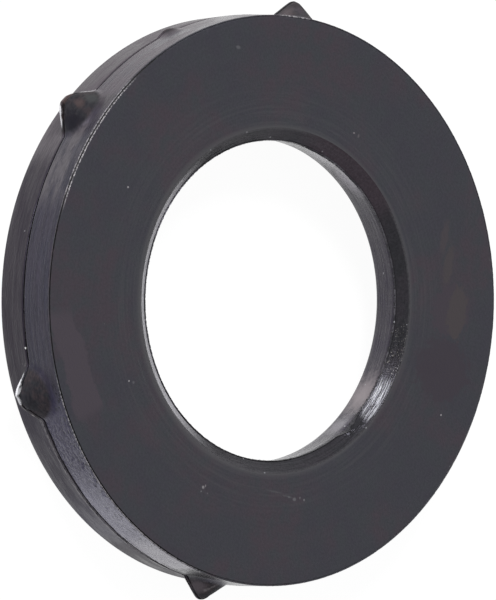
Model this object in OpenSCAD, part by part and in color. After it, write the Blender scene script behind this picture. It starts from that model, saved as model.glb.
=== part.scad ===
// Moulded rubber sealing ring with six retaining nibs on its rim.
// The ring lies flat: +Z is its axis, the back face is on z = 0 and the front face is up.
// It is moulded between two plates that meet at the parting plane, half way up the rim.
// The front plate forms the nibs, so they stand on the front side of that plane only.

/* [Ring] */
// Outside diameter at the front face
ring_d = 25.4; // [24:0.1:27]
// Thickness between the front and back faces
ring_t = 3.56; // [3.3:0.02:4.5]
// Depth of the parting plane below the front face
parting_depth = 1.78; // [1.6:0.02:2.1]
// Draft of the rim from the front face out to the parting plane, in degrees
front_draft = 1.8; // [0.5:0.1:4]
// Draft of the rim from the parting plane in to the back face, in degrees
back_draft = 3.8; // [0.5:0.1:6]
// Radius of the rim's edges at both faces
edge_r = 0.08; // [0.04:0.01:0.15]

/* [Parting groove] */
// Width of the fine groove where the plates meet
groove_w = 0.1; // [0.06:0.01:0.16]
// Depth of that groove
groove_depth = 0.06; // [0.03:0.01:0.1]

/* [Bore] */
// Diameter of the straight land in the bore
bore_d = 14.3; // [13:0.1:15.5]
// Width of the lead-in chamfer on the front face
lead_w = 0.52; // [0.3:0.02:0.8]
// Depth of the lead-in chamfer
lead_depth = 0.38; // [0.2:0.02:0.6]
// Mouth diameter of the cone that opens from the parting plane to the back face
seat_d = 17.9; // [17:0.1:20]

/* [Nibs] */
// Number of nibs round the rim
nib_count = 6; // [3:1:8]
// Height of a nib above the rim at the parting plane
nib_h = 0.87; // [0.6:0.01:1.1]
// Diameter of a nib's foot on the rim
nib_foot_d = 2.6; // [2.3:0.1:3]
// Radius of the rounded tip
nib_tip_r = 0.32; // [0.2:0.01:0.42]
// Radius of the hollow where the flank runs out into the rim
nib_hollow_r = 0.5; // [0.3:0.05:0.6]
// Thickness of the flat fin behind the parting plane, which backs each nib
fin_t = 0.12; // [0.05:0.01:0.25]

/* [Gate mark] */
// Angle of the gate mark round the rim, in degrees from +X
gate_angle = 212.5; // [190:0.5:230]
// Height that is left of the gate
gate_h = 0.16; // [0.1:0.01:0.22]
// Width of the gate mark's foot
gate_foot_d = 1.3; // [1.1:0.1:1.6]

/* [Hidden] */
ring_r = ring_d / 2;
bore_r = bore_d / 2;
seat_r = seat_d / 2;
parting_z = ring_t - parting_depth;
// Rim radius at the parting plane, its widest, and at the back face
parting_r = ring_r + parting_depth * tan(front_draft);
back_r = parting_r - parting_z * tan(back_draft);
land_top_z = ring_t - lead_depth;
// How far a nib's root reaches into the rim, so that the two are one solid
nib_root = 0.5;
gate_tip_r = 0.3;
gate_hollow_r = 0.3;
arc_steps = 6;
ring_facets = 240;
nib_facets = 48;

// Points on an arc about c from angle a0 to a1
function arc(c, r, a0, a1) =
    [for (i = [0 : arc_steps]) let (a = a0 + (a1 - a0) * i / arc_steps) c + r * [cos(a), sin(a)]];

// Drop of the rim's curve below its tangent at a distance w to the side
function rim_drop(w) = parting_r - sqrt(parting_r * parting_r - w * w);

// Half of a nib's outline, from its tip down to its foot: a rounded tip, a straight flank
// and a hollow foot, each tangent to the next. Its origin is on the rim at the parting plane.
function nib_side(h, foot_r, tip_r, hollow_r) =
    let (
        tip_c = [0, h - tip_r],
        foot_c = [foot_r, hollow_r - rim_drop(foot_r)],
        span = foot_c - tip_c,
        flank = atan2(span.y, span.x) + acos((tip_r + hollow_r) / norm(span))
    )
    concat(arc(tip_c, tip_r, 90, flank), arc(foot_c, hollow_r, flank + 180, 270));

module ring_profile() {
    polygon(concat(
        [[seat_r, 0]],
        arc([back_r - edge_r, edge_r], edge_r, -90, -back_draft),
        [
            [parting_r, parting_z - groove_w / 2],
            [parting_r - groove_depth, parting_z],
            [parting_r, parting_z + groove_w / 2]
        ],
        arc([ring_r - edge_r, ring_t - edge_r], edge_r, front_draft, 90),
        [
            [bore_r + lead_w, ring_t],
            [bore_r, land_top_z],
            [bore_r, parting_z]
        ]
    ));
}

// A nib on the +X side: a half-turned cone in front of the parting plane, and a fin behind it
module nib(h, foot_r, tip_r, hollow_r) {
    side = nib_side(h, foot_r, tip_r, hollow_r);
    translate([parting_r, 0, parting_z]) rotate([90, 0, 90]) {
        rotate_extrude(angle = 180, $fn = nib_facets)
            polygon(concat([[0, -nib_root]], side, [[foot_r, -nib_root]]));
        rotate([90, 0, 0]) linear_extrude(fin_t)
            polygon(concat(
                [[-foot_r, -nib_root]],
                [for (i = [len(side) - 1 : -1 : 1]) [-side[i].x, side[i].y]],
                side,
                [[foot_r, -nib_root]]
            ));
    }
}

module rubber_ring() {
    color([0.25, 0.24, 0.26]) union() {
        rotate_extrude($fn = ring_facets) ring_profile();
        for (i = [0 : nib_count - 1])
            rotate(i * 360 / nib_count) nib(nib_h, nib_foot_d / 2, nib_tip_r, nib_hollow_r);
        rotate(gate_angle) nib(gate_h, gate_foot_d / 2, gate_tip_r, gate_hollow_r);
    }
}

rubber_ring();
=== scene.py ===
import math

import bmesh
import bpy
from mathutils import Matrix, Vector


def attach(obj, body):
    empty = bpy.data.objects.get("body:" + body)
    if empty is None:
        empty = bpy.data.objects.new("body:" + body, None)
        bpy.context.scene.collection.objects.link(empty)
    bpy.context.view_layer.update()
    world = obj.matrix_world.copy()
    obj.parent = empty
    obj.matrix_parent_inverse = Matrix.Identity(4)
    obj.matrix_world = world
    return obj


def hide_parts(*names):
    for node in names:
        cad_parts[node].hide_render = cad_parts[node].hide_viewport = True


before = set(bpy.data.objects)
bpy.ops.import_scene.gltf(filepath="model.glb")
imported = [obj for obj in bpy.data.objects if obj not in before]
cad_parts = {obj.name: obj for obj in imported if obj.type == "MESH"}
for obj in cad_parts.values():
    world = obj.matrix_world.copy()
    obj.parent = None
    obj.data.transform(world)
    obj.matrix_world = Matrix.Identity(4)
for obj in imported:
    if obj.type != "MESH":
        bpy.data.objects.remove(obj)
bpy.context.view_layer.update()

mm = 0.001

# Looks down on the front face, turned so that the near rim is on the left
cameraSettings = dict(
    target=(0.0, 0.0, 3.56),    # centre of the front face, mm
    distance=402.4,
    azimuth=-79.72,             # degrees from +X
    elevation=51.27,
    roll=90.54,
    lens=543.2,
    swing=0.177,                # the ring sits a little right of the middle
    nod=0.003,
)


def placeCamera():
    c = cameraSettings
    az = math.radians(c["azimuth"])
    el = math.radians(c["elevation"])
    away = Vector((math.cos(el) * math.cos(az), math.cos(el) * math.sin(az), math.sin(el)))
    bpy.ops.object.camera_add(location=(Vector(c["target"]) + away * c["distance"]) * mm)
    cam = bpy.context.object
    look = (-away).to_track_quat("-Z", "Y").to_matrix()
    roll = Matrix.Rotation(math.radians(c["roll"]), 3, "Z")
    swing = Matrix.Rotation(math.radians(c["swing"]), 3, "Y")
    nod = Matrix.Rotation(math.radians(c["nod"]), 3, "X")
    cam.rotation_euler = (look @ roll @ swing @ nod).to_euler()
    cam.data.lens = c["lens"]
    cam.data.clip_start = 0.01
    bpy.context.scene.camera = cam
    print("camera placed")


def deselectAll():
    if bpy.context.object and bpy.context.object.mode == "EDIT":
        bpy.ops.object.mode_set(mode="OBJECT")
    bpy.ops.object.select_all(action="DESELECT")


# Picks the visible vertices for which test(x, y, z), in mm, is true
def selectVerts(piece, test):
    mesh = bmesh.from_edit_mesh(piece.data)
    for v in mesh.verts:
        v.select = (not v.hide) and test(*(v.co / mm))
    mesh.select_flush_mode()
    bmesh.update_edit_mesh(piece.data)


# Section of the ring, mm: radii from the axis, heights above the back face
ringSizes = dict(
    rimRadius=12.70,
    partingRadius=12.745,
    backRadius=12.638,
    height=3.56,
    partingHeight=1.78,
    grooveWidth=0.08,
    grooveDepth=0.15,
    finThickness=0.15,
    finStep=0.004,          # ledge at the back of the fins
    lipDrop=0.02,           # fine lip and nick where the front face was trimmed
    lipWidth=0.03,
    lipInset=0.012,
    lipRise=0.035,
    lipRound=0.008,
    nickWidth=0.055,
    nickDepth=0.022,
    crownWidth=0.35,
    chamferRadius=7.67,
    chamferDepth=0.38,
    ridgeRadius=7.11,
    skinWidth=0.06,         # torn skin that stands up at the ridge
    skinHeight=0.035,
    skinSlope=0.655,        # rise of the chamfer per mm of its width
    skinLean=0.35,
    ridgeDrop=0.01,
    landEndRadius=7.235,
    seatRadius=8.95,
    boreShift=0.015,
    chamferShift=0.05,
    sectorSteps=180,
)


# One vertex, drawn out corner by corner into the closed outline of the section
def drawSection(piece, corners):
    bpy.ops.object.mode_set(mode="EDIT")
    bpy.ops.mesh.select_all(action="SELECT")
    bpy.ops.mesh.merge(type="CENTER")
    here = Vector((0, 0, 0))
    for i, (r, z) in enumerate(corners):
        there = Vector((r * mm, 0, z * mm))
        if i == 0:
            bpy.ops.transform.translate(value=there - here)
        else:
            bpy.ops.mesh.extrude_region_move(TRANSFORM_OT_translate={"value": there - here})
        here = there
    ends = (corners[0], corners[-1])
    selectVerts(piece, lambda x, y, z: any(abs(x - r) + abs(z - h) < 1e-4 for r, h in ends))
    bpy.ops.mesh.edge_face_add()


def roundCorner(piece, corner, radius, segments):
    r, h = corner
    selectVerts(piece, lambda x, y, z: abs(x - r) + abs(z - h) < 1e-4)
    bpy.ops.mesh.bevel(offset=radius * mm, segments=segments, profile=0.5, affect="VERTICES")


# Extra points on the straight stretch of outline between two corners
def cutStretch(piece, start, end, cuts):
    line = Vector((end[0] - start[0], 0, end[1] - start[1]))
    along = line.normalized()
    mesh = bmesh.from_edit_mesh(piece.data)
    bpy.ops.mesh.select_mode(type="EDGE")
    for e in mesh.edges:
        offs = [v.co / mm - Vector((start[0], 0, start[1])) for v in e.verts]
        inside = all(-1e-3 < o.dot(along) < line.length + 1e-3 and (o - along * o.dot(along)).length < 1e-3
                     for o in offs)
        e.select = inside and (offs[1] - offs[0]).length > 0.3 * line.length
    bmesh.update_edit_mesh(piece.data)
    bpy.ops.mesh.subdivide(number_cuts=cuts)
    bpy.ops.mesh.select_mode(type="VERT")


def buildRing():
    s = ringSizes
    zp = s["partingHeight"]
    top = s["height"]
    half = s["grooveWidth"] / 2
    draft = (s["partingRadius"] - s["backRadius"]) / zp
    finBack = zp - half - s["finThickness"]
    seatMouth = (s["seatRadius"], 0)
    backEdge = (s["backRadius"], 0)
    finFoot = (s["backRadius"] + draft * (finBack - s["finStep"]), finBack - s["finStep"])
    finTop = (s["backRadius"] + draft * finBack, finBack)
    backLip = (s["partingRadius"], zp - half)
    groove = (s["partingRadius"] - s["grooveDepth"], zp)
    frontLip = (s["partingRadius"], zp + half)
    lipTop = top - s["lipDrop"]
    lipInner = s["rimRadius"] - s["lipInset"] - s["lipWidth"]
    lipFoot = (s["rimRadius"], lipTop - s["lipRise"])
    lipCrest = (s["rimRadius"] - s["lipRound"], lipTop)
    nickEdge = (lipInner, lipTop)
    nickFloor = (lipInner - s["nickWidth"] / 2, lipTop - s["nickDepth"])
    faceEdge = (lipInner - s["nickWidth"], lipTop + s["lipRound"])
    crown = (s["rimRadius"] - s["crownWidth"], top)
    chamferEdge = (s["chamferRadius"], top)
    ridgeZ = top - s["chamferDepth"]
    skinFoot = (s["ridgeRadius"] + s["skinWidth"], ridgeZ + s["skinWidth"] * s["skinSlope"])
    skinTop = (s["ridgeRadius"] + s["skinWidth"] * s["skinLean"], skinFoot[1] + s["skinHeight"])
    ridge = (s["ridgeRadius"], ridgeZ - s["ridgeDrop"])
    landEnd = (s["landEndRadius"], zp)

    deselectAll()
    bpy.ops.mesh.primitive_plane_add(size=mm)
    piece = bpy.context.object
    piece.name = "moulded_ring"
    drawSection(piece, [seatMouth, backEdge, finFoot, finTop, backLip, groove, frontLip, lipFoot, lipCrest,
                        nickEdge, nickFloor, faceEdge, crown, chamferEdge, skinFoot, skinTop, ridge, landEnd])
    for corner, radius, segments in (
        (seatMouth, 0.08, 2), (backEdge, 0.10, 3), (finTop, 0.04, 2), (backLip, 0.04, 3),
        (frontLip, 0.015, 2), (lipCrest, 0.02, 2), (crown, 0.10, 2), (chamferEdge, 0.07, 3),
        (landEnd, 0.04, 2),
    ):
        roundCorner(piece, corner, radius, segments)
    for start, end, cuts in (
        (seatMouth, backEdge, 4), (backEdge, finFoot, 5), (frontLip, lipFoot, 16),
        (crown, chamferEdge, 9), (chamferEdge, skinFoot, 4), (ridge, landEnd, 6), (landEnd, seatMouth, 3),
    ):
        cutStretch(piece, start, end, cuts)
    print("section drawn")

    # A sixth of the ring is spun, then copied round the axis
    sixths = 6
    sector = math.radians(360 / sixths)
    bpy.ops.mesh.select_all(action="SELECT")
    bpy.ops.mesh.spin(steps=s["sectorSteps"], angle=sector, center=(0, 0, 0), axis=(0, 0, 1))
    bpy.ops.object.mode_set(mode="OBJECT")
    deselectAll()
    for k in range(1, sixths):
        other = piece.copy()
        other.data = piece.data.copy()
        bpy.context.collection.objects.link(other)
        other.rotation_euler.z = k * sector
        other.select_set(True)
    piece.select_set(True)
    bpy.context.view_layer.objects.active = piece
    bpy.ops.object.join()
    bpy.ops.object.mode_set(mode="EDIT")
    bpy.ops.mesh.select_all(action="SELECT")
    bpy.ops.mesh.remove_doubles(threshold=0.0005 * mm)
    bpy.ops.mesh.normals_make_consistent(inside=False)
    print("ring spun")
    return piece


# Nibs and gate mark on the rim, mm and degrees.
# A pull is: radius of the patch that is held, reach of the fall-off from it, share of the height, fall-off
nibSizes = dict(
    # angle, height, share of the width
    cones=((-1.2, 0.80, 0.97), (60, 0.83, 1.0), (120, 0.83, 1.0), (180.2, 0.83, 1.0)),
    conePulls=((0.10, 1.10, 0.42, "LINEAR"), (0.22, 0.92, 0.30, "LINEAR"), (0.10, 1.25, 0.28, "SMOOTH")),
    domes=((240.4, 0.88, 1.04), (299.4, 0.85, 1.02)),
    domePulls=((0.10, 1.25, 0.42, "INVERSE_SQUARE"), (0.22, 1.00, 0.32, "LINEAR"),
               (0.10, 1.25, 0.26, "SMOOTH")),
    gateAngle=212.5,
    gateHeight=0.17,
    gatePulls=((0.10, 0.7, 1.0, "SMOOTH"),),
    gateBack=0.08,          # how far behind the parting line the gate mark reaches
    rimDepth=0.3,           # points deeper in the rim than this stay where they are
    holdDepth=0.2,
    slack=0.002,
    finLifts=((0.05, 0.02), (0.12, 0.02)),      # above the rim, lift
    flash=((242.2, 0.10, 0.8), (297.8, 0.09, 0.7), (0.5, 0.07, 0.5)),   # angle, lift, reach
)


# Pulls the rim out at the parting line. What lies behind backEdge is hidden and stays where it is,
# so a bump has the flat back that the mould's rear plate leaves.
def raiseBump(piece, angle, height, size, pulls, backEdge):
    s = ringSizes
    n = nibSizes
    turn = math.radians(angle)
    out = Vector((math.cos(turn), math.sin(turn), 0))
    across = Vector((-out.y, out.x, 0))
    selectVerts(piece, lambda x, y, z: z < backEdge or math.hypot(x, y) < s["rimRadius"] - n["rimDepth"])
    bpy.ops.mesh.hide(unselected=False)
    lipHeight = s["partingHeight"] + s["grooveWidth"] / 2
    patches = []
    mesh = bmesh.from_edit_mesh(piece.data)
    mesh.verts.ensure_lookup_table()
    for pull in pulls:
        held = []
        for v in mesh.verts:
            p = v.co / mm
            if not v.hide and p.dot(out) > s["rimRadius"] - n["holdDepth"]:
                ahead = max(0, p.z - lipHeight)
                if math.hypot(p.dot(across), ahead) < pull[0] * size:
                    held.append(v.index)
        patches.append(held)
    for pull, held in zip(pulls, patches):
        reach, share, falloff = pull[1:]
        mesh = bmesh.from_edit_mesh(piece.data)
        mesh.verts.ensure_lookup_table()
        bpy.ops.mesh.select_all(action="DESELECT")
        for i in held:
            mesh.verts[i].select = True
        mesh.select_flush_mode()
        bmesh.update_edit_mesh(piece.data)
        bpy.ops.transform.translate(value=out * height * share * mm, use_proportional_edit=True,
                                    proportional_edit_falloff=falloff, proportional_size=reach * size * mm)
    bpy.ops.mesh.reveal(select=False)


def addNibs(piece):
    s = ringSizes
    n = nibSizes
    finBack = s["partingHeight"] - s["grooveWidth"] / 2 - s["finThickness"] - n["slack"]
    for angle, height, size in n["cones"]:
        raiseBump(piece, angle, height, size, n["conePulls"], finBack)
    for angle, height, size in n["domes"]:
        raiseBump(piece, angle, height, size, n["domePulls"], finBack)
    raiseBump(piece, n["gateAngle"], n["gateHeight"], 1.0, n["gatePulls"], s["partingHeight"] - n["gateBack"])
    print("nibs raised:", len(n["cones"] + n["domes"]))


# Moves one loop of points by an amount, easing off within reach of an angle
def pullLoop(piece, radii, heights, angle, reach, outward=0.0, upward=0.0):
    turn = math.radians(angle)
    out = Vector((math.cos(turn), math.sin(turn), 0))

    def onLoop(x, y, z):
        return radii[0] < math.hypot(x, y) < radii[1] and heights[0] < z < heights[1]
    selectVerts(piece, onLoop)
    bpy.ops.mesh.hide(unselected=True)
    selectVerts(piece, lambda x, y, z: (Vector((x, y, 0)).normalized() - out).length < 0.004)
    move = (out * outward + Vector((0, 0, upward))) * mm
    bpy.ops.transform.translate(value=move, use_proportional_edit=True, proportional_edit_falloff="SMOOTH",
                                proportional_size=reach * mm)
    bpy.ops.mesh.reveal(select=False)


# Raises the fin's round edge above the nibs, so that it stands proud all round them
def raiseFins(piece):
    s = ringSizes
    n = nibSizes
    finTopZ = s["partingHeight"] - s["grooveWidth"] / 2
    finHeights = (finTopZ - s["finThickness"] - n["slack"], finTopZ + n["slack"])
    for nib in n["cones"] + n["domes"]:
        turn = math.radians(nib[0])
        out = Vector((math.cos(turn), math.sin(turn), 0))
        for above, lift in n["finLifts"]:
            def onFin(x, y, z):
                high = math.hypot(x, y) > s["partingRadius"] + above and x * out.x + y * out.y > 12
                return high and finHeights[0] < z < finHeights[1]
            selectVerts(piece, onFin)
            bpy.ops.transform.translate(value=out * lift * mm)
    # Wider flash on one side of three fins
    for angle, lift, reach in n["flash"]:
        pullLoop(piece, (12.3, 14), finHeights, angle, reach, outward=lift)
    print("fins raised")


# Wear and moulding flaws, mm and degrees
wearSizes = dict(
    # angle, amount
    gapes=((206, 0.3), (214, 0.4), (222, 0.4), (230, 0.45), (249, 0.3), (257, 0.3), (265, 0.3), (273, 0.3),
           (281, 0.35), (289, 0.4), (302.5, 1.2), (305, 0.8), (309, 0.8), (314, 0.2), (319, 1.1), (325, 0.3),
           (329, 1.3), (334, 0.3), (339, 1.7), (345, 0.4), (349, 1.8), (354, 1.2)),
    gapeReach=2.2,
    gapeRadii=(12.65, 13.4),
    gapeDeeper=0.22,        # for an amount of 1
    frontLipLift=0.115,
    backLipDrop=0.05,
    nickAngles=(268, 282, 296, 310, 324, 338),
    nickRadii=(12.59, 12.655),
    nickHeights=(3.49, 3.525),
    nickReach=2.6,
    nickDeeper=0.026,
    nickInward=0.006,
    ridgeTear=0.018,
    lipTear=0.010,
    edgeTear=0.008,
    dentAngles=(152, 162, 171),
    dentReach=1.2,
    dentDepth=0.05,
    chips=((50, 0.05, 0.10), (47, 0.12, 0.10)),     # angle, outward, upward
    chipReach=0.7,
    chamferReach=0.65,
    # angle, height, depth
    pits=((313.6, 2.76, 0.05), (315.0, 3.24, 0.07), (315.6, 3.12, 0.05), (318.9, 3.36, 0.07),
          (322.1, 3.38, 0.08), (322.9, 3.30, 0.08), (326.6, 2.85, 0.06), (320.2, 3.20, 0.04)),
    pitRadii=(12.60, 12.76),
    pitReach=0.16,
    pitHalf=0.05,
)


def wearRing(piece):
    s = ringSizes
    w = wearSizes
    zp = s["partingHeight"]
    half = s["grooveWidth"] / 2
    bottom = s["partingRadius"] - s["grooveDepth"]
    top = s["height"]
    ridgeZ = top - s["chamferDepth"]
    # The parting groove gapes on the near side, most of all towards the lowest nib
    reach = w["gapeReach"]
    radii = w["gapeRadii"]
    for angle, gape in w["gapes"]:
        pullLoop(piece, (bottom - 0.2, bottom + 0.02), (zp - 0.01, zp + 0.01), angle, reach,
                 outward=-w["gapeDeeper"] * gape)
        pullLoop(piece, radii, (zp + half - 0.016, zp + half + 0.08), angle, reach,
                 upward=w["frontLipLift"] * gape)
        pullLoop(piece, radii, (zp - half - 0.05, zp - half + 0.01), angle, reach,
                 upward=-w["backLipDrop"] * gape)
    # The nick round the front face is deepest on the same side
    for angle in w["nickAngles"]:
        pullLoop(piece, w["nickRadii"], w["nickHeights"], angle, w["nickReach"],
                 outward=-w["nickInward"], upward=-w["nickDeeper"])
    # Torn skin on the bore's ridge, and uneven lips at the groove and round the front face
    selectVerts(piece, lambda x, y, z: (math.hypot(x, y) < s["ridgeRadius"] + 0.05
                                        and ridgeZ - 0.03 < z < ridgeZ + 0.10))
    bpy.ops.transform.vertex_random(offset=w["ridgeTear"] * mm, uniform=0.0, normal=0.0, seed=7)
    selectVerts(piece, lambda x, y, z: 12.70 < math.hypot(x, y) < 12.77 and abs(z - zp) < half + 0.03)
    bpy.ops.transform.vertex_random(offset=w["lipTear"] * mm, uniform=0.0, normal=0.0, seed=11)
    selectVerts(piece, lambda x, y, z: 12.6 < math.hypot(x, y) < 12.72 and z > top - 0.07)
    bpy.ops.transform.vertex_random(offset=w["edgeTear"] * mm, uniform=0.0, normal=0.0, seed=5)
    for angle in w["dentAngles"]:
        pullLoop(piece, (7.0, 7.25), (ridgeZ - 0.06, ridgeZ + 0.06), angle, w["dentReach"],
                 outward=-w["dentDepth"])
    # Chips where the chamfer meets the land
    for angle, outward, upward in w["chips"]:
        pullLoop(piece, (7.0, 7.40), (ridgeZ - 0.20, ridgeZ + 0.16), angle, w["chipReach"], outward, upward)
    # The bore sits a little off centre, and its chamfer a little more
    boreEdge = s["chamferRadius"] + 0.1
    selectVerts(piece, lambda x, y, z: math.hypot(x, y) < boreEdge)
    bpy.ops.transform.translate(value=(0, s["boreShift"] * mm, 0))
    selectVerts(piece, lambda x, y, z: math.hypot(x, y - s["boreShift"]) < boreEdge and z > top - 0.05)
    bpy.ops.transform.translate(value=(0, s["chamferShift"] * mm, 0), use_proportional_edit=True,
                                proportional_edit_falloff="LINEAR", proportional_size=w["chamferReach"] * mm)
    # Pits in the rim near the front edge
    for angle, z, depth in w["pits"]:
        pullLoop(piece, w["pitRadii"], (z - w["pitHalf"], z + w["pitHalf"]), angle, w["pitReach"],
                 outward=-depth)
    print("wear added")


def finishRing(piece):
    bpy.ops.object.mode_set(mode="OBJECT")
    mesh = bmesh.new()
    mesh.from_mesh(piece.data)
    openEdges = sum(not e.is_manifold for e in mesh.edges)
    print("ring:", len(mesh.verts), "vertices,", len(mesh.faces), "faces,", openEdges, "open edges")
    mesh.free()
    bpy.ops.object.shade_smooth_by_angle(angle=math.radians(35))


def addNode(tree, kind, at, **settings):
    n = tree.nodes.new(kind)
    n.location = at
    for key, value in settings.items():
        setattr(n, key, value)
    return n


# Math node; an input is a number or another node's output
def calc(tree, at, operation, *inputs, clamp=False):
    n = addNode(tree, "ShaderNodeMath", at, operation=operation, use_clamp=clamp)
    for socket, value in zip(n.inputs, inputs):
        if isinstance(value, (int, float)):
            socket.default_value = value
        else:
            tree.links.new(value, socket)
    return n.outputs[0]


def times(tree, at, first, second):
    return calc(tree, at, "MULTIPLY", first, second)


# Smooth step from low to high, put out between two values
def ease(tree, at, value, low, high, start=0.0, end=1.0):
    n = addNode(tree, "ShaderNodeMapRange", at, interpolation_type="SMOOTHSTEP")
    tree.links.new(value, n.inputs["Value"])
    for name, number in (("From Min", low), ("From Max", high), ("To Min", start), ("To Max", end)):
        n.inputs[name].default_value = number
    return n.outputs["Result"]


# 1 between low and high, easing to 0 on both sides
def window(tree, at, value, low, high, soft):
    up = ease(tree, (at[0] - 200, at[1]), value, low - soft, low)
    down = ease(tree, (at[0] - 200, at[1] - 150), value, high, high + soft, 1.0, 0.0)
    return calc(tree, at, "MULTIPLY", up, down)


def blend(tree, at, factor, first, second, mode="MIX"):
    n = addNode(tree, "ShaderNodeMix", at, data_type="RGBA", blend_type=mode)
    for index, value in ((0, factor), (6, first), (7, second)):
        if isinstance(value, tuple):
            n.inputs[index].default_value = (*value, 1)
        elif isinstance(value, (int, float)):
            n.inputs[index].default_value = value
        else:
            tree.links.new(value, n.inputs[index])
    return n.outputs[2]


def newGroup(name, inputs, outputs):
    g = bpy.data.node_groups.new(name, "ShaderNodeTree")
    for label, kind, value in inputs:
        socket = g.interface.new_socket(label, in_out="INPUT", socket_type=kind)
        if value is not None:
            socket.default_value = value
    for label, kind in outputs:
        g.interface.new_socket(label, in_out="OUTPUT", socket_type=kind)
    return g, addNode(g, "NodeGroupInput", (-900, 0)), addNode(g, "NodeGroupOutput", (900, 0))


def useGroup(tree, group, at, **values):
    n = addNode(tree, "ShaderNodeGroup", at, node_tree=group)
    for key, value in values.items():
        socket = n.inputs[key]
        if isinstance(value, (int, float, tuple)):
            socket.default_value = value
        else:
            tree.links.new(value, socket)
    return n


# Where a point is on the ring: mm from the axis, mm above the back, and the surface rolled out flat
def placeGroup():
    g, start, end = newGroup("ringPlace", [], [
        ("Point", "NodeSocketVector"), ("Radius", "NodeSocketFloat"), ("Height", "NodeSocketFloat"),
        ("Turn", "NodeSocketFloat"), ("Unrolled", "NodeSocketVector")])
    coord = addNode(g, "ShaderNodeTexCoord", (-900, 200))
    inMm = addNode(g, "ShaderNodeVectorMath", (-700, 200), operation="SCALE")
    inMm.inputs["Scale"].default_value = 1000
    parts = addNode(g, "ShaderNodeSeparateXYZ", (-500, 200))
    g.links.new(coord.outputs["Object"], inMm.inputs[0])
    g.links.new(inMm.outputs[0], parts.inputs[0])
    x, y, z = parts.outputs
    xx = times(g, (-300, 300), x, x)
    yy = times(g, (-300, 150), y, y)
    radius = calc(g, (100, 200), "SQRT", calc(g, (-100, 200), "ADD", xx, yy))
    turn = calc(g, (-100, 0), "ARCTAN2", y, x)
    unrolled = addNode(g, "ShaderNodeCombineXYZ", (500, -100))
    g.links.new(times(g, (300, -50), turn, 10.0), unrolled.inputs[0])
    g.links.new(radius, unrolled.inputs[1])
    g.links.new(z, unrolled.inputs[2])
    g.links.new(inMm.outputs[0], end.inputs["Point"])
    g.links.new(radius, end.inputs["Radius"])
    g.links.new(z, end.inputs["Height"])
    g.links.new(turn, end.inputs["Turn"])
    g.links.new(unrolled.outputs[0], end.inputs["Unrolled"])
    return g


# Cloudy patches, streaks or grain: noise on a stretched copy of the place given
def cloudGroup():
    g, start, end = newGroup("rubberClouds", [
        ("Place", "NodeSocketVector", None), ("Stretch", "NodeSocketVector", (1, 1, 1)),
        ("Detail", "NodeSocketFloat", 2.0), ("Low", "NodeSocketFloat", 0.35),
        ("High", "NodeSocketFloat", 0.65)], [("Amount", "NodeSocketFloat")])
    sized = addNode(g, "ShaderNodeVectorMath", (-600, 0), operation="MULTIPLY")
    noise = addNode(g, "ShaderNodeTexNoise", (-300, 0))
    noise.inputs["Scale"].default_value = 1
    noise.inputs["Roughness"].default_value = 0.6
    spread = addNode(g, "ShaderNodeMapRange", (200, 0), interpolation_type="SMOOTHSTEP")
    g.links.new(start.outputs["Place"], sized.inputs[0])
    g.links.new(start.outputs["Stretch"], sized.inputs[1])
    g.links.new(sized.outputs[0], noise.inputs["Vector"])
    g.links.new(start.outputs["Detail"], noise.inputs["Detail"])
    g.links.new(noise.outputs[0], spread.inputs["Value"])
    g.links.new(start.outputs["Low"], spread.inputs["From Min"])
    g.links.new(start.outputs["High"], spread.inputs["From Max"])
    g.links.new(spread.outputs["Result"], end.inputs["Amount"])
    return g


# Scattered specks: one in some of the cells of a grid, small and round
def speckGroup():
    g, start, end = newGroup("dustSpecks", [
        ("Place", "NodeSocketVector", None), ("Spacing", "NodeSocketFloat", 1.0),
        ("Size", "NodeSocketFloat", 0.05), ("Share", "NodeSocketFloat", 0.3)],
        [("Mask", "NodeSocketFloat")])
    perMm = calc(g, (-700, -150), "DIVIDE", 1.0, start.outputs["Spacing"])
    cells = addNode(g, "ShaderNodeTexVoronoi", (-450, 0))
    g.links.new(start.outputs["Place"], cells.inputs["Vector"])
    g.links.new(perMm, cells.inputs["Scale"])
    away = times(g, (-200, 100), cells.outputs["Distance"], start.outputs["Spacing"])
    tints = addNode(g, "ShaderNodeSeparateColor", (-200, -100))
    g.links.new(cells.outputs["Color"], tints.inputs[0])
    size = times(g, (0, -250), start.outputs["Size"], calc(g, (-200, -300), "ADD", tints.outputs[1], 0.4))
    near = calc(g, (200, 100), "SUBTRACT", 1.6, calc(g, (0, 100), "DIVIDE", away, size), clamp=True)
    kept = calc(g, (200, -100), "LESS_THAN", tints.outputs[0], start.outputs["Share"])
    g.links.new(times(g, (400, 0), near, kept), end.inputs["Mask"])
    return g


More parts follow.
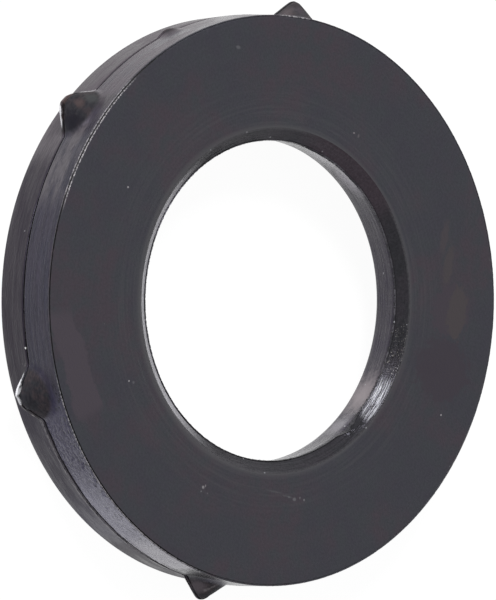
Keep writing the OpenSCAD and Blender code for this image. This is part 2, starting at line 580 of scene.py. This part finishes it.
# One ragged spot at a place given in mm
def spotGroup():
    g, start, end = newGroup("raggedSpot", [
        ("Place", "NodeSocketVector", None), ("Centre", "NodeSocketVector", (0, 0, 0)),
        ("Stretch", "NodeSocketVector", (1, 1, 1)), ("Size", "NodeSocketFloat", 0.1),
        ("Softness", "NodeSocketFloat", 0.5)], [("Mask", "NodeSocketFloat")])
    noise = addNode(g, "ShaderNodeTexNoise", (-650, -250))
    noise.inputs["Scale"].default_value = 4
    noise.inputs["Detail"].default_value = 3
    off = addNode(g, "ShaderNodeVectorMath", (-650, 0), operation="SUBTRACT")
    sized = addNode(g, "ShaderNodeVectorMath", (-450, 0), operation="MULTIPLY")
    far = addNode(g, "ShaderNodeVectorMath", (-250, 0), operation="LENGTH")
    g.links.new(start.outputs["Place"], noise.inputs["Vector"])
    g.links.new(start.outputs["Place"], off.inputs[0])
    g.links.new(start.outputs["Centre"], off.inputs[1])
    g.links.new(off.outputs[0], sized.inputs[0])
    g.links.new(start.outputs["Stretch"], sized.inputs[1])
    g.links.new(sized.outputs[0], far.inputs[0])
    ragged = calc(g, (-250, -250), "MULTIPLY_ADD", noise.outputs[0], 1.2, 0.4)
    share = calc(g, (0, 0), "DIVIDE", far.outputs["Value"],
                 times(g, (0, -200), start.outputs["Size"], ragged))
    inner = calc(g, (200, -200), "SUBTRACT", 1.0, start.outputs["Softness"])
    mask = addNode(g, "ShaderNodeMapRange", (400, 0), interpolation_type="SMOOTHSTEP")
    g.links.new(share, mask.inputs["Value"])
    g.links.new(inner, mask.inputs["From Min"])
    mask.inputs["From Max"].default_value = 1
    mask.inputs["To Min"].default_value = 1
    mask.inputs["To Max"].default_value = 0
    g.links.new(mask.outputs["Result"], end.inputs["Mask"])
    return g


def newMaterial(name, ior):
    m = bpy.data.materials.new(name)
    m.use_nodes = True
    t = m.node_tree
    shader = t.nodes["Principled BSDF"]
    shader.inputs["IOR"].default_value = ior
    return m, t, shader


# Joins colour, roughness and relief to the shader
def finishMaterial(tree, shader, color, rough, relief, depth):
    bump = addNode(tree, "ShaderNodeBump", (-200, -500))
    bump.inputs["Strength"].default_value = 1.0
    bump.inputs["Distance"].default_value = depth * mm
    tree.links.new(relief, bump.inputs["Height"])
    tree.links.new(bump.outputs[0], shader.inputs["Normal"])
    tree.links.new(color, shader.inputs["Base Color"])
    tree.links.new(rough, shader.inputs["Roughness"])


# Cloudy patches, from 0 where the noise is under low to 1 where it is over high
def cloudy(tree, at, place, stretch, detail, low, high):
    return useGroup(tree, clouds, at, Place=place, Stretch=stretch, Detail=detail, Low=low, High=high)


# Blends a tint into a colour by a share of the mask
def tone(tree, at, color, mask, strength, tint):
    share = times(tree, (at[0] - 200, at[1] - 200), mask, strength)
    return blend(tree, at, share, color, tint)


# Lays spots over a colour, where limit lets them show
def addMarks(tree, color, point, marks, limit=None):
    for i, (centre, stretch, size, softness, tint, strength) in enumerate(marks):
        spot = useGroup(tree, spots, (-1200, -1100 - 200 * i), Place=point, Centre=centre, Stretch=stretch,
                        Size=size, Softness=softness)
        share = times(tree, (-900, -1100 - 200 * i), spot.outputs[0], strength)
        if limit is not None:
            share = times(tree, (-700, -1100 - 200 * i), share, limit)
        color = blend(tree, (40 * i - 600, 500), share, color, tint)
    return color


# Marks on the front face, mm: place, stretch, size, softness, colour, strength
faceMarks = (
    ((8.86, -2.49, 3.56), (1, 1, 1), 0.09, 0.6, (0.22, 0.21, 0.22), 0.8),
    ((8.78, -2.36, 3.56), (1.2, 2.2, 1), 0.10, 0.6, (0.20, 0.19, 0.20), 0.7),
    ((9.06, -2.56, 3.56), (1, 1, 1), 0.05, 0.6, (0.16, 0.16, 0.17), 0.7),
    ((-3.34, -9.12, 3.56), (1, 1, 1), 0.06, 0.6, (0.30, 0.29, 0.30), 0.8),
    ((5.00, -7.45, 3.56), (1, 1, 1), 0.05, 0.6, (0.32, 0.31, 0.32), 0.9),
    ((5.02, -7.20, 3.56), (1, 1, 1), 0.08, 0.6, (0.09, 0.09, 0.10), 0.7),
    ((-8.19, 2.97, 3.56), (1.5, 1, 1), 0.08, 0.6, (0.24, 0.22, 0.23), 0.7),
    ((-8.10, 3.25, 3.56), (1, 1.6, 1), 0.10, 0.6, (0.10, 0.09, 0.10), 0.7),
    ((3.30, 10.36, 3.56), (1, 1, 1), 0.05, 0.6, (0.32, 0.31, 0.32), 0.8),
    ((-10.62, -4.25, 3.56), (1, 0.6, 1), 0.10, 0.6, (0.09, 0.09, 0.10), 0.7),
    ((8.45, 2.40, 3.56), (2, 0.8, 1), 0.09, 0.6, (0.13, 0.13, 0.14), 0.7),
    ((8.50, 2.72, 3.56), (1, 0.8, 1), 0.10, 0.6, (0.12, 0.12, 0.13), 0.7),
    ((8.38, 3.02, 3.56), (1, 1.6, 1), 0.08, 0.6, (0.12, 0.12, 0.13), 0.7),
    ((8.43, 3.27, 3.56), (1, 1, 1), 0.06, 0.6, (0.16, 0.16, 0.17), 0.7),
    ((8.36, 1.60, 3.56), (7, 0.5, 1), 0.35, 0.7, (0.070, 0.070, 0.078), 0.6),
    ((8.44, 2.30, 3.56), (7, 0.6, 1), 0.30, 0.7, (0.070, 0.070, 0.078), 0.6),
    ((1.30, 10.05, 3.56), (1, 1, 1), 1.70, 0.25, (0.0350, 0.0285, 0.0385), 0.9),
    ((-4.60, 9.05, 3.56), (0.28, 1, 1), 0.28, 0.5, (0.0460, 0.0390, 0.0455), 0.9),
    ((-3.35, 9.50, 3.56), (0.28, 1, 1), 0.34, 0.5, (0.0470, 0.0400, 0.0440), 0.9),
    ((-1.40, 10.05, 3.56), (0.85, 1, 1), 1.15, 0.15, (0.0415, 0.0335, 0.0440), 0.9),
    ((-1.35, 10.40, 3.56), (0.42, 1, 1), 0.60, 0.25, (0.0480, 0.0405, 0.0435), 0.9),
)


faceLook = dict(
    ior=1.36,
    rough=(0.50, 0.62),
    relief=0.004,           # mm
)


def faceMaterial():
    m, t, shader = newMaterial("faceRubber", faceLook["ior"])
    point, radius, height, turn, unrolled = useGroup(t, ringPlace, (-1800, 0)).outputs
    wide = cloudy(t, (-1500, 300), point, (0.24, 0.24, 0.24), 2.5, 0.44, 0.58)
    small = cloudy(t, (-1500, 0), point, (1.1, 1.1, 1.1), 4.0, 0.35, 0.7)
    grain = cloudy(t, (-1500, -300), point, (9, 9, 9), 3.0, 0.25, 0.75)
    arcs = cloudy(t, (-1500, -600), unrolled, (0.18, 9, 0), 2.0, 0.4, 0.75)
    specks = useGroup(t, dust, (-1500, -900), Place=point, Spacing=0.9, Size=0.028, Share=0.16)
    color = blend(t, (-1200, 300), wide.outputs[0], (0.0330, 0.0320, 0.0425), (0.0410, 0.0325, 0.0425))
    color = blend(t, (-1000, 300), small.outputs[0], color, (0.0325, 0.0345, 0.0420))
    fine = ease(t, (-1200, 0), grain.outputs[0], 0, 1, 0.90, 1.10)
    color = blend(t, (-800, 300), 1.0, color, fine, "MULTIPLY")
    # Turning marks, strongest near the bore
    nearBore = ease(t, (-1200, -600), radius, 8.2, 10.4, 1.0, 0.15)
    lines = times(t, (-1000, -600), arcs.outputs[0], nearBore)
    color = tone(t, (-600, 300), color, lines, 0.28, (0.068, 0.067, 0.072))
    # Paler band round the bore's edge
    halo = ease(t, (-1000, -800), radius, 7.68, 7.95, 0.65, 0.0)
    color = blend(t, (-400, 300), halo, color, (0.066, 0.065, 0.070))
    # A pale violet crescent near the rim
    bend = ease(t, (-1400, -5600), turn, -1.36, -1.16, 0.70, 0.0)
    across = calc(t, (-1000, -5600), "SUBTRACT",
                  calc(t, (-1200, -5600), "MULTIPLY_ADD", small.outputs[0], 0.25, radius), bend)
    crescent = times(t, (-600, -5600), window(t, (-800, -5600), across, 10.95, 12.25, 0.12),
                     window(t, (-800, -5800), turn, -1.315, -0.96, 0.05))
    color = blend(t, (-300, 300), crescent, color, (0.0485, 0.0400, 0.0510))
    color = addMarks(t, color, point, faceMarks)
    color = tone(t, (400, 300), color, specks.outputs[0], 0.6, (0.16, 0.16, 0.17))
    # The lip at the front edge carries a painted highlight on three stretches, and the nick inside it is
    # painted dark as shade
    onLip = times(t, (-1200, -4400), ease(t, (-1400, -4400), height, 3.50, 3.53),
                  ease(t, (-1400, -4500), radius, 12.645, 12.660))
    lipGlint = window(t, (-1200, -4600), turn, -2.18, -1.80, 0.12)
    lipGlintLow = times(t, (-1000, -4800), window(t, (-1200, -4800), turn, -1.02, -0.25, 0.15), 0.45)
    flecks = ease(t, (-1000, -5000), grain.outputs[0], 0.30, 0.65, 0.15, 1.0)
    partly = calc(t, (-1000, -4600), "MULTIPLY_ADD", lipGlint, 0.5,
                  window(t, (-1200, -4700), turn, -3.09, -2.985, 0.02))
    lipGlintShare = times(t, (-800, -4400), calc(t, (-800, -4600), "ADD", partly, lipGlintLow), flecks)
    color = tone(t, (500, 300), color, onLip, lipGlintShare, (0.42, 0.40, 0.42))
    # Painted shade in the nick
    inNick = times(t, (-1200, -5200), ease(t, (-1400, -5200), radius, 12.595, 12.610),
                   ease(t, (-1400, -5300), radius, 12.640, 12.655, 1, 0))
    nickShade = times(t, (-600, -5200), inNick, window(t, (-800, -5200), turn, -2.35, -0.15, 0.15))
    # A second painted highlight, just inside the nick
    inner = times(t, (-1200, -5400), ease(t, (-1400, -5400), radius, 12.530, 12.545),
                  ease(t, (-1400, -5500), radius, 12.590, 12.600, 1, 0))
    innerLipGlint = times(t, (-1000, -5400), inner, lipGlint)
    innerLipGlint = times(t, (-800, -5400), innerLipGlint, flecks)
    color = blend(t, (550, 300), innerLipGlint, color, (0.42, 0.40, 0.42))
    color = blend(t, (600, 300), nickShade, color, (0.004, 0.004, 0.004))
    rough = ease(t, (-600, -200), small.outputs[0], 0, 1, *faceLook["rough"])
    relief = calc(t, (-600, -400), "MULTIPLY_ADD", lines, 0.6, grain.outputs[0])
    finishMaterial(t, shader, color, rough, relief, faceLook["relief"])
    return m


# Marks on the rim, mm: place, stretch, size, softness, colour, strength. The pale marks on the fins beside
# the nibs are painted highlights, and the darkest mark is painted shade
rimMarksAndGlints = (
    # Painted highlight along the fin beside the nib at 299 degrees
    ((5.60, -11.93, 1.68), (1, 1, 5), 0.26, 0.5, (0.50, 0.50, 0.52), 0.8),
    ((6.15, -12.15, 1.66), (0.9, 1, 5), 0.62, 0.5, (0.72, 0.72, 0.75), 1.0),
    ((6.80, -11.95, 1.72), (1, 1, 5), 0.36, 0.5, (0.55, 0.55, 0.58), 0.9),
    ((-6.95, -11.90, 1.70), (1, 1, 2.5), 0.50, 0.5, (0.085, 0.062, 0.060), 0.9),
    # Painted highlight along the fin beside the nib at 240 degrees
    ((-5.75, -12.02, 1.66), (1, 1, 4), 0.40, 0.5, (0.66, 0.65, 0.68), 0.9),
    ((-6.20, -12.08, 1.66), (1, 1, 4), 0.38, 0.5, (0.66, 0.65, 0.68), 0.9),
    # Painted highlight on the fin beside the nib at -1 degree
    ((13.36, 0.50, 1.66), (1, 1, 3), 0.45, 0.35, (0.60, 0.58, 0.60), 0.9),
    ((-6.95, -11.05, 2.50), (1, 1, 1), 0.50, 0.7, (0.036, 0.038, 0.037), 0.8),
    ((-6.62, -11.57, 2.42), (1, 1, 1), 0.32, 0.7, (0.050, 0.034, 0.031), 0.7),
    # Painted shade on the lower flank of the nib at 240 degrees
    ((-5.75, -11.72, 2.25), (0.9, 1, 0.8), 0.58, 0.6, (0.004, 0.004, 0.006), 0.9),
    ((13.12, -0.85, 2.20), (1, 1, 1), 0.60, 0.8, (0.085, 0.070, 0.077), 0.8),
    # A painted highlight line along the edge of the nib at -1 degree
    *(((13.24 - 0.07 * k, -0.48 + 0.08 * k, 2.34 + 0.10 * k), (1, 1, 1), 0.17, 0.9, (0.24, 0.22, 0.23), 0.8)
      for k in range(5)),
    ((-13.10, -0.80, 2.25), (1, 1, 1), 0.60, 0.8, (0.070, 0.056, 0.058), 0.8),
    ((-13.20, -0.20, 2.45), (1, 1, 1), 0.45, 0.8, (0.045, 0.037, 0.044), 0.7),
    # Painted highlight on the fin at the top flank of the nib at 240 degrees
    ((-7.40, -10.75, 1.69), (1, 1, 5), 0.60, 0.6, (0.42, 0.40, 0.42), 0.7),
    ((12.62, -1.90, 3.44), (1, 1, 1), 0.12, 0.6, (0.45, 0.44, 0.46), 0.7),
    ((6.55, -11.45, 2.05), (1, 1, 1), 0.06, 0.5, (0.50, 0.50, 0.50), 0.9),
    ((7.25, -10.95, 1.66), (1, 1, 3), 0.16, 0.5, (0.30, 0.28, 0.28), 0.8),
    ((-0.69, -12.68, 1.36), (1, 1, 1), 0.05, 0.5, (0.30, 0.30, 0.31), 0.8),
    ((4.38, -11.92, 1.71), (1, 1, 1), 0.07, 0.5, (0.8, 0.8, 0.8), 0.9),
)


rimLook = dict(
    ior=1.6,
    gloss=(0.28, 0.27, 0.36, 1),
    rough=(0.18, 0.32),
    backRougher=0.18,
    nibRougher=0.45,
    relief=0.005,
)


def rimMaterial():
    m, t, shader = newMaterial("rimRubber", rimLook["ior"])
    shader.inputs["Specular Tint"].default_value = rimLook["gloss"]
    point, radius, height, turn, unrolled = useGroup(t, ringPlace, (-1800, 0)).outputs
    bands = cloudy(t, (-1500, 300), unrolled, (0.55, 0.8, 1.4), 3.0, 0.38, 0.62)
    along = cloudy(t, (-1500, 0), unrolled, (0.4, 1, 4.5), 3.0, 0.35, 0.65)
    grain = cloudy(t, (-1500, -300), unrolled, (5, 8, 12), 3.0, 0.25, 0.75)
    specks = useGroup(t, dust, (-1500, -600), Place=point, Spacing=0.55, Size=0.022, Share=0.30)
    front = ease(t, (-1500, -900), height, 1.70, 1.80)
    color = blend(t, (-1200, 300), front, (0.0205, 0.0145, 0.0175), (0.0175, 0.0170, 0.0280))
    color = tone(t, (-1000, 300), color, bands.outputs[0], 0.5, (0.029, 0.023, 0.035))
    color = tone(t, (-800, 300), color, along.outputs[0], 0.45, (0.010, 0.008, 0.012))
    # Bluer on the near side, and duller on its back band
    lowSide = window(t, (-1400, -1800), turn, -0.98, -0.45, 0.12)
    color = tone(t, (-700, 300), color, lowSide, 0.6, (0.0190, 0.0165, 0.0440))
    dull = times(t, (-1200, -1950), window(t, (-1400, -1950), turn, -1.75, -0.75, 0.35),
                 calc(t, (-1400, -2100), "SUBTRACT", 1.0, front))
    color = tone(t, (-650, 300), color, dull, 0.8, (0.0075, 0.004, 0.0085))
    # Painted shadow beside the upper nib's foot, and painted reflection, paler, just past it on both bands
    nibFootShadow = times(t, (-1200, -2250), window(t, (-1400, -2250), turn, -2.165, -2.125, 0.03), front)
    color = tone(t, (-640, 300), color, nibFootShadow, 0.8, (0.003, 0.003, 0.003))
    # Painted reflection past the nib, on the front band and then on the back band
    pastNibReflection = times(t, (-1200, -2400), window(t, (-1400, -2400), turn, -2.00, -1.80, 0.12), front)
    color = tone(t, (-620, 300), color, pastNibReflection, bands.outputs[0], (0.062, 0.056, 0.062))
    behindNibReflection = times(t, (-1200, -4100), window(t, (-1400, -4100), turn, -2.07, -1.95, 0.10),
                   calc(t, (-1400, -4300), "SUBTRACT", 0.7, front))
    color = blend(t, (-610, 300), behindNibReflection, color, (0.062, 0.053, 0.060))
    fine = ease(t, (-1200, -200), grain.outputs[0], 0, 1, 0.8, 1.2)
    color = blend(t, (-600, 300), 1.0, color, fine, "MULTIPLY")
    # Painted reflection, pale on the far side
    parts = addNode(t, "ShaderNodeSeparateXYZ", (-1500, -1200))
    t.links.new(point, parts.inputs[0])
    farSideReflection = times(t, (-1200, -1200), ease(t, (-1400, -1200), parts.outputs[0], -8.0, -4.0, 0.8, 0.0),
                  ease(t, (-1400, -1300), bands.outputs[0], 0, 1, 0.5, 1.0))
    color = blend(t, (-500, 300), farSideReflection, color, (0.064, 0.052, 0.060))
    # Painted sheen where the front band turns away below
    turnAwaySheen = times(t, (-1200, -1500), window(t, (-1400, -1500), turn, -0.52, -0.36, 0.30), front)
    turnAwaySheen = times(t, (-1000, -1500), turnAwaySheen, ease(t, (-1200, -1650), grain.outputs[0], 0, 1, 0.75, 1.1))
    turnAwaySheen = times(t, (-900, -1500), turnAwaySheen, ease(t, (-1100, -1750), height, 2.0, 2.6, 1.35, 0.95))
    color = blend(t, (-480, 300), turnAwaySheen, color, (0.165, 0.160, 0.205))
    color = tone(t, (200, 300), color, specks.outputs[0], 0.5, (0.22, 0.22, 0.23))
    # Painted glare beside the lowest nib, then painted shade at its foot
    glare = times(t, (-1200, -3000), window(t, (-1400, -3000), turn, -0.34, -0.205, 0.11), front)
    color = tone(t, (180, 300), color, glare, 0.8, (0.29, 0.278, 0.305))
    shade = times(t, (-1200, -3200), window(t, (-1400, -3200), turn, -0.165, -0.08, 0.03), front)
    color = tone(t, (200, 300), color, shade, 0.9, (0.003, 0.003, 0.004))
    # Painted highlight on the back lip of the groove where it gapes
    backLip = times(t, (-1200, -3400), window(t, (-1400, -3400), height, 1.58, 1.72, 0.03),
                    window(t, (-1400, -3600), turn, -0.98, -0.20, 0.12))
    backLip = times(t, (-1000, -3400), backLip,
                    ease(t, (-1200, -3600), grain.outputs[0], 0.2, 0.7, 0.2, 0.8))
    color = blend(t, (220, 300), backLip, color, (0.14, 0.13, 0.14))
    # Small pits along the upper edge of the near side, painted dark inside as shade
    pits = cloudy(t, (-1500, -2600), unrolled, (6, 1, 7), 1.0, 0.58, 0.68)
    pitted = times(t, (-1200, -2600), window(t, (-1400, -2600), turn, -1.02, -0.42, 0.12),
                   ease(t, (-1400, -2800), height, 2.60, 3.30))
    pitted = times(t, (-1000, -2600), pitted, pits.outputs[0])
    color = tone(t, (240, 300), color, pitted, 0.9, (0.004, 0.004, 0.004))
    # Pebbled where it shines, with painted glints on the pebbles
    pebbles = cloudy(t, (-1500, -3000), unrolled, (8, 8, 8), 2.0, 0.42, 0.62)
    pebbled = times(t, (-1200, -3800), window(t, (-1400, -3800), turn, -0.85, -0.30, 0.2), front)
    pebbled = times(t, (-1000, -3800), pebbled, pebbles.outputs[0])
    color = tone(t, (260, 300), color, pebbled, 0.15, (0.36, 0.35, 0.42))
    # Nibs are duller than the rim round them
    onNib = ease(t, (-1200, -900), radius, 12.765, 12.92)
    blotches = cloudy(t, (-1500, -1600), point, (1.6, 1.6, 1.6), 2.0, 0.42, 0.58)
    skin = blend(t, (0, 50), blotches.outputs[0], (0.019, 0.020, 0.020), (0.034, 0.025, 0.024))
    skin = blend(t, (200, 50), grain.outputs[0], (0.006, 0.006, 0.006), skin)
    color = blend(t, (400, 300), times(t, (200, 100), onNib, 0.9), color, skin)
    color = addMarks(t, color, point, rimMarksAndGlints)
    # The parting groove is painted dark as shade
    grooveShade = times(t, (-1200, -1000), ease(t, (-1400, -1000), radius, 12.695, 12.735, 1, 0),
                     window(t, (-1400, -1100), height, 1.70, 1.88, 0.01))
    color = blend(t, (500, 300), grooveShade, color, (0.003, 0.003, 0.003))
    rough = ease(t, (-800, -100), bands.outputs[0], 0, 1, *rimLook["rough"])
    behindMore = rimLook["backRougher"]
    rough = calc(t, (-700, -100), "ADD", rough,
                 calc(t, (-800, -250), "MULTIPLY_ADD", front, -behindMore, behindMore))
    onBody = times(t, (-800, -350), onNib, ease(t, (-1000, -350), height, 1.74, 1.80))
    rough = calc(t, (-600, -100), "MULTIPLY_ADD", onBody, rimLook["nibRougher"], rough)
    relief = calc(t, (-600, -400), "MULTIPLY_ADD", along.outputs[0], 1.1, grain.outputs[0])
    relief = calc(t, (-400, -400), "MULTIPLY_ADD", pitted, -3.0, relief)
    relief = calc(t, (-200, -400), "MULTIPLY_ADD", pebbled, 2.5, relief)
    finishMaterial(t, shader, color, rough, relief, rimLook["relief"])
    return m


# Painted reflections as pale patches on the bore's wall, and dark specks, mm: place, stretch, size, softness,
# colour, strength
boreReflectionsAndSpecks = (
    ((3.10, 6.50, 2.60), (1, 1, 1.0), 1.6, 1.0, (0.24, 0.205, 0.215), 0.8),
    ((4.70, 5.40, 2.50), (1, 1, 1.0), 0.9, 0.9, (0.19, 0.175, 0.20), 0.7),
    ((-6.25, 3.60, 2.90), (1, 1, 1.2), 1.4, 0.9, (0.24, 0.22, 0.26), 0.9),
    ((-6.90, 2.10, 2.90), (1, 1, 1.2), 1.6, 0.9, (0.40, 0.39, 0.42), 0.9),
    ((-7.08, 1.17, 3.02), (1, 1, 1), 0.09, 0.4, (0.005, 0.005, 0.005), 0.95),
    ((-6.90, 1.95, 3.00), (1, 1, 1), 0.08, 0.4, (0.005, 0.005, 0.005), 0.95),
    ((-6.76, 2.35, 2.98), (1, 1, 1), 0.07, 0.4, (0.005, 0.005, 0.005), 0.95),
    ((-6.62, 2.75, 2.92), (1, 1, 1), 0.10, 0.4, (0.005, 0.005, 0.005), 0.95),
    ((-6.50, 3.05, 2.44), (1, 1, 1), 0.09, 0.4, (0.010, 0.008, 0.008), 0.95),
    ((-6.42, 3.18, 2.80), (1, 1, 1), 0.06, 0.4, (0.005, 0.005, 0.005), 0.95),
)


boreLook = dict(
    ior=1.6,
    gloss=(0.30, 0.29, 0.35, 1),
    rough=(0.10, 0.26),
    relief=0.003,
)


def boreMaterial():
    m, t, shader = newMaterial("boreRubber", boreLook["ior"])
    shader.inputs["Specular Tint"].default_value = boreLook["gloss"]
    point, radius, height, turn, unrolled = useGroup(t, ringPlace, (-1800, 0)).outputs
    clumps = cloudy(t, (-1500, 300), point, (1, 1, 1), 3.0, 0.38, 0.62)
    streaks = cloudy(t, (-1500, 0), unrolled, (0.35, 13, 13), 2.0, 0.35, 0.65)
    grain = cloudy(t, (-1500, -300), unrolled, (9, 9, 9), 3.0, 0.25, 0.75)
    specks = useGroup(t, dust, (-1500, -600), Place=point, Spacing=0.42, Size=0.03, Share=0.35)
    land = ease(t, (-1500, -900), height, 3.10, 3.24, 1, 0)
    color = blend(t, (-1200, 300), land, (0.0200, 0.0200, 0.0225), (0.0135, 0.0095, 0.0205))
    color = tone(t, (-1000, 300), color, clumps.outputs[0], 0.5, (0.029, 0.025, 0.030))
    # Paler along the chamfer's outer edge
    chamferEdgePale = ease(t, (-1500, -1000), height, 3.51, 3.55)
    color = tone(t, (-900, 300), color, chamferEdgePale, 0.65, (0.066, 0.065, 0.070))
    # The chamfer is browner at the far side
    brown = times(t, (-1200, -3700), window(t, (-1400, -3700), turn, 2.45, 2.95, 0.25),
                  ease(t, (-1400, -3900), height, 3.21, 3.25))
    color = blend(t, (-880, 300), brown, color, (0.036, 0.028, 0.034))
    # Painted reflection, pale on the chamfer's side next to the rim's near part
    nearSide = window(t, (-1400, -2500), turn, -1.95, -0.75, 0.5)
    nearChamferReflection = times(t, (-1200, -2500), nearSide, window(t, (-1400, -2700), height, 3.27, 3.48, 0.03))
    color = blend(t, (-860, 300), nearChamferReflection, color, (0.36, 0.355, 0.38))
    # Darker on the torn skin of that side
    onSkin = times(t, (-1200, -3300), window(t, (-1400, -3300), height, 3.10, 3.225, 0.01),
                   window(t, (-1400, -3500), turn, -2.35, -0.55, 0.2))
    color = blend(t, (-850, 300), onSkin, color, (0.004, 0.004, 0.004))
    # The land's top edge shines in places
    topEdge = times(t, (-1200, -2900), window(t, (-1400, -2900), height, 3.18, 3.26, 0.02),
                    ease(t, (-1400, -3100), clumps.outputs[0], 0.3, 0.8))
    topEdge = times(t, (-1100, -2900), topEdge, ease(t, (-1400, -3200), radius, 7.14, 7.17, 1, 0))
    color = tone(t, (-840, 300), color, topEdge, 0.5, (0.11, 0.105, 0.12))
    fine = ease(t, (-1200, -200), grain.outputs[0], 0, 1, 0.8, 1.2)
    color = blend(t, (-800, 300), 1.0, color, fine, "MULTIPLY")
    onLand = ease(t, (-900, -1300), height, 3.12, 3.20, 1, 0)
    color = addMarks(t, color, point, boreReflectionsAndSpecks, onLand)
    # Torn ridge
    atRidge = times(t, (-900, -1600), ease(t, (-1100, -1600), height, 3.05, 3.12),
                    ease(t, (-1100, -1700), height, 3.20, 3.26, 1, 0))
    torn = times(t, (-700, -1600), atRidge, ease(t, (-1100, -1800), grain.outputs[0], 0.55, 0.7))
    color = blend(t, (-620, 300), torn, color, (0.004, 0.004, 0.004))
    color = tone(t, (-600, 300), color, specks.outputs[0], 0.8, (0.32, 0.32, 0.34))
    # Grit on the chamfer, and a painted highlight in fine streaks on a stretch beside it
    grit = cloudy(t, (-1500, -2000), point, (17, 17, 17), 1.0, 0.65, 0.72)
    holes = cloudy(t, (-1500, -2300), point, (11, 11, 11), 1.0, 0.58, 0.66)
    highlightLines = cloudy(t, (-1500, -2600), unrolled, (0.9, 24, 24), 2.0, 0.46, 0.62)
    onChamfer = ease(t, (-900, -2200), height, 3.21, 3.25)
    gritty = times(t, (-700, -2000), window(t, (-900, -2000), turn, 1.15, 1.45, 0.25), onChamfer)
    color = tone(t, (-560, 300), color, holes.outputs[0], gritty, (0.006, 0.006, 0.006))
    chamferHighlight = times(t, (-700, -2500), window(t, (-900, -2500), turn, 1.04, 1.19, 0.10),
                   window(t, (-900, -2700), height, 3.27, 3.48, 0.05))
    highlightStreaks = times(t, (-500, -2500), chamferHighlight, highlightLines.outputs[0])
    color = tone(t, (-480, 300), color, chamferHighlight, 0.6, (0.030, 0.030, 0.033))
    color = tone(t, (-440, 300), color, highlightStreaks, 0.9, (0.50, 0.51, 0.54))
    color = tone(t, (-420, 300), color, grit.outputs[0], gritty, (0.24, 0.23, 0.21))
    rough = ease(t, (-800, -100), streaks.outputs[0], 0, 1, *boreLook["rough"])
    relief = calc(t, (-600, -400), "MULTIPLY_ADD", streaks.outputs[0], 2.0, grain.outputs[0])
    finishMaterial(t, shader, color, rough, relief, boreLook["relief"])
    return m


# Face, rim and bore by place on the section
def assignMaterials(piece):
    for m in (faceMaterial(), rimMaterial(), boreMaterial()):
        piece.data.materials.append(m)
    for poly in piece.data.polygons:
        c = poly.center / mm
        r = math.hypot(c.x, c.y)
        if r > 12.6 and 0.03 < c.z < 3.50:
            poly.material_index = 1
        elif (r < 7.9 and c.z < 3.55) or (r < 8.95 and 0.01 < c.z < 1.9):
            poly.material_index = 2
    print("materials given:", len(piece.data.materials))


# Puts out share where the camera, a reflection or glass looks, and 0 for the light that the stage gives
def rayShare(tree, at, share):
    path = addNode(tree, "ShaderNodeLightPath", (at[0] - 600, at[1]))
    looks = calc(tree, (at[0] - 400, at[1]), "MAXIMUM", path.outputs["Is Camera Ray"],
                 path.outputs["Is Glossy Ray"])
    looks = calc(tree, (at[0] - 200, at[1]), "MAXIMUM", looks, path.outputs["Is Transmission Ray"])
    return calc(tree, at, "MULTIPLY", looks, share)


stageSettings = dict(
    floorSize=4,            # metres
    floorGlow=1.08,
    glowShare=0.88,
    paleBelow=0.35,
    darkAbove=0.75,
    overhead=(0.3, 0.3, 0.3, 1),
)


def buildStage():
    s = stageSettings
    deselectAll()
    bpy.ops.mesh.primitive_plane_add(size=s["floorSize"])
    floor = bpy.context.object
    floor.name = "studio_floor"
    m = bpy.data.materials.new("paleFloor")
    m.use_nodes = True
    t = m.node_tree
    t.nodes.clear()
    out = addNode(t, "ShaderNodeOutputMaterial", (400, 0))
    lit = addNode(t, "ShaderNodeBsdfDiffuse", (0, -100))
    glow = addNode(t, "ShaderNodeEmission", (0, -250))
    glow.inputs["Strength"].default_value = s["floorGlow"]
    mix = addNode(t, "ShaderNodeMixShader", (200, 0))
    t.links.new(rayShare(t, (0, 100), s["glowShare"]), mix.inputs[0])
    t.links.new(lit.outputs[0], mix.inputs[1])
    t.links.new(glow.outputs[0], mix.inputs[2])
    t.links.new(mix.outputs[0], out.inputs[0])
    floor.data.materials.append(m)

    # Pale low down, as a sweep is, and darker overhead
    world = bpy.data.worlds.new("studio")
    bpy.context.scene.world = world
    world.use_nodes = True
    t = world.node_tree
    t.nodes.clear()
    out = addNode(t, "ShaderNodeOutputWorld", (600, 0))
    back = addNode(t, "ShaderNodeBackground", (400, 0))
    coord = addNode(t, "ShaderNodeTexCoord", (-400, 0))
    parts = addNode(t, "ShaderNodeSeparateXYZ", (-200, 0))
    ramp = addNode(t, "ShaderNodeValToRGB", (0, 0))
    low, high = ramp.color_ramp.elements
    low.position = s["paleBelow"]
    low.color = (1, 1, 1, 1)
    high.position = s["darkAbove"]
    high.color = s["overhead"]
    t.links.new(coord.outputs["Generated"], parts.inputs[0])
    t.links.new(parts.outputs["Z"], ramp.inputs[0])
    t.links.new(ramp.outputs[0], back.inputs["Color"])
    t.links.new(back.outputs[0], out.inputs[0])
    print("stage built")


def addLamp(name, direction, distance, size, sizeY, power):
    d = Vector(direction).normalized()
    bpy.ops.object.light_add(type="AREA", location=d * distance)
    lamp = bpy.context.object
    lamp.name = name
    lamp.rotation_euler = d.to_track_quat("Z", "Y").to_euler()
    lamp.data.energy = power
    lamp.data.shape = "RECTANGLE"
    lamp.data.size = size
    lamp.data.size_y = sizeY
    print("lamp placed:", name)


placeCamera()
ring = buildRing()
addNibs(ring)
raiseFins(ring)
wearRing(ring)
finishRing(ring)
ringPlace = placeGroup()
clouds = cloudGroup()
dust = speckGroup()
spots = spotGroup()
assignMaterials(ring)
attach(ring, "root")
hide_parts("rubber_ring")
buildStage()
addLamp("topSoftbox", (-0.575, -0.378, 0.72), distance=0.5, size=0.15, sizeY=0.15, power=1.7)
addLamp("sideSoftbox", (-0.30, -0.95, 0.20), distance=0.5, size=0.20, sizeY=0.06, power=0.8)
bpy.context.scene.view_settings.view_transform = "Standard"
